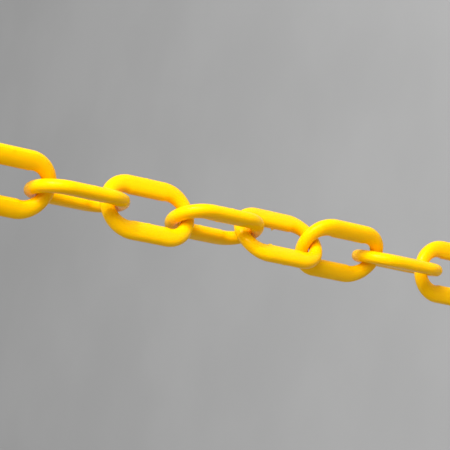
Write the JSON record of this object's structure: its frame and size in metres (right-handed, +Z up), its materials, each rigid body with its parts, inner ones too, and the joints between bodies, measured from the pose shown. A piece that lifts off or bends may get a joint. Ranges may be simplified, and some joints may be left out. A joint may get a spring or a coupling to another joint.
{
  "type": "plastic barrier chain",
  "caption": "Yellow plastic barrier chain of oval links with broad sides, hanging straight from an open S hook, with a second S hook on its lower end.",
  "frame": {"origin": "centre of the round seat inside the top hook's upper bend, where a post's eye passes", "axes": "+Z up along the hanging chain; +X in the top hook's plane, across it; +Y through the top hook's eye"},
  "size_m": [0.033, 0.033, 0.8121],
  "materials": {
    "chain_plastic": "gloss",
    "hook_plastic": "gloss"
  },
  "bodies": {
    "top_hook": {"top_hook": "hook_plastic"},
    "link_01": {"link_01": "chain_plastic"},
    "link_02": {"link_02": "chain_plastic"},
    "link_03": {"link_03": "chain_plastic"},
    "link_04": {"link_04": "chain_plastic"},
    "link_05": {"link_05": "chain_plastic"},
    "link_06": {"link_06": "chain_plastic"},
    "link_07": {"link_07": "chain_plastic"},
    "link_08": {"link_08": "chain_plastic"},
    "link_09": {"link_09": "chain_plastic"},
    "link_10": {"link_10": "chain_plastic"},
    "link_11": {"link_11": "chain_plastic"},
    "link_12": {"link_12": "chain_plastic"},
    "link_13": {"link_13": "chain_plastic"},
    "link_14": {"link_14": "chain_plastic"},
    "link_15": {"link_15": "chain_plastic"},
    "link_16": {"link_16": "chain_plastic"},
    "link_17": {"link_17": "chain_plastic"},
    "link_18": {"link_18": "chain_plastic"},
    "bottom_hook": {"bottom_hook": "hook_plastic"}
  },
  "joints": [
    {"name": "link_01_swing", "type": "hinge", "parent": "top_hook", "child": "link_01", "pos_m": [0, 0, -0.0455], "axis": [1, 0, 0], "range_deg": [-110, 110]},
    {"name": "link_02_swing", "type": "hinge", "parent": "link_01", "child": "link_02", "pos_m": [0, 0, -0.0842], "axis": [-0.0349, 0.9994, 0], "range_deg": [-110, 110]},
    {"name": "link_03_swing", "type": "hinge", "parent": "link_02", "child": "link_03", "pos_m": [0, 0, -0.12289], "axis": [-0.9969, -0.0785, 0], "range_deg": [-110, 110]},
    {"name": "link_04_swing", "type": "hinge", "parent": "link_03", "child": "link_04", "pos_m": [0, 0, -0.16159], "axis": [0.061, -0.9981, 0], "range_deg": [-110, 110]},
    {"name": "link_05_swing", "type": "hinge", "parent": "link_04", "child": "link_05", "pos_m": [0, 0, -0.20029], "axis": [0.9976, -0.0698, 0], "range_deg": [-110, 110]},
    {"name": "link_06_swing", "type": "hinge", "parent": "link_05", "child": "link_06", "pos_m": [0, 0, -0.23893], "axis": [0.1994, 0.9799, 0], "range_deg": [-110, 110]},
    {"name": "link_07_swing", "type": "hinge", "parent": "link_06", "child": "link_07", "pos_m": [0, 0, -0.27763], "axis": [-1, -0.0087, 0], "range_deg": [-110, 110]},
    {"name": "link_08_swing", "type": "hinge", "parent": "link_07", "child": "link_08", "pos_m": [0, 0, -0.31606], "axis": [0.3584, -0.9336, 0], "range_deg": [-110, 110]},
    {"name": "link_09_swing", "type": "hinge", "parent": "link_08", "child": "link_09", "pos_m": [0, 0, -0.35469], "axis": [0.8829, 0.4695, 0], "range_deg": [-110, 110]},
    {"name": "link_10_swing", "type": "hinge", "parent": "link_09", "child": "link_10", "pos_m": [0, 0, -0.39339], "axis": [-0.6018, 0.7986, 0], "range_deg": [-110, 110]},
    {"name": "link_11_swing", "type": "hinge", "parent": "link_10", "child": "link_11", "pos_m": [0, 0, -0.43196], "axis": [-0.5664, -0.8241, 0], "range_deg": [-110, 110]},
    {"name": "link_12_swing", "type": "hinge", "parent": "link_11", "child": "link_12", "pos_m": [0, 0, -0.47052], "axis": [0.9816, -0.1908, 0], "range_deg": [-110, 110]},
    {"name": "link_13_swing", "type": "hinge", "parent": "link_12", "child": "link_13", "pos_m": [0, 0, -0.50894], "axis": [-0.0958, 0.9954, 0], "range_deg": [-110, 110]},
    {"name": "link_14_swing", "type": "hinge", "parent": "link_13", "child": "link_14", "pos_m": [0, 0, -0.54763], "axis": [0.9994, 0.0349, 0], "range_deg": [-110, 110]},
    {"name": "link_15_swing", "type": "hinge", "parent": "link_14", "child": "link_15", "pos_m": [0, 0, -0.58627], "axis": [0.0349, -0.9994, 0], "range_deg": [-110, 110]},
    {"name": "link_16_swing", "type": "hinge", "parent": "link_15", "child": "link_16", "pos_m": [0, 0, -0.62492], "axis": [-0.9936, -0.1132, 0], "range_deg": [-110, 110]},
    {"name": "link_17_swing", "type": "hinge", "parent": "link_16", "child": "link_17", "pos_m": [0, 0, -0.66361], "axis": [-0.1478, 0.989, 0], "range_deg": [-110, 110]},
    {"name": "link_18_swing", "type": "hinge", "parent": "link_17", "child": "link_18", "pos_m": [0, 0, -0.70229], "axis": [0.9848, 0.1736, 0], "range_deg": [-110, 110]},
    {"name": "bottom_hook_swing", "type": "hinge", "parent": "link_18", "child": "bottom_hook", "pos_m": [0, 0, -0.74099], "axis": [0.1219, -0.9925, 0], "range_deg": [-110, 110]}
  ]
}
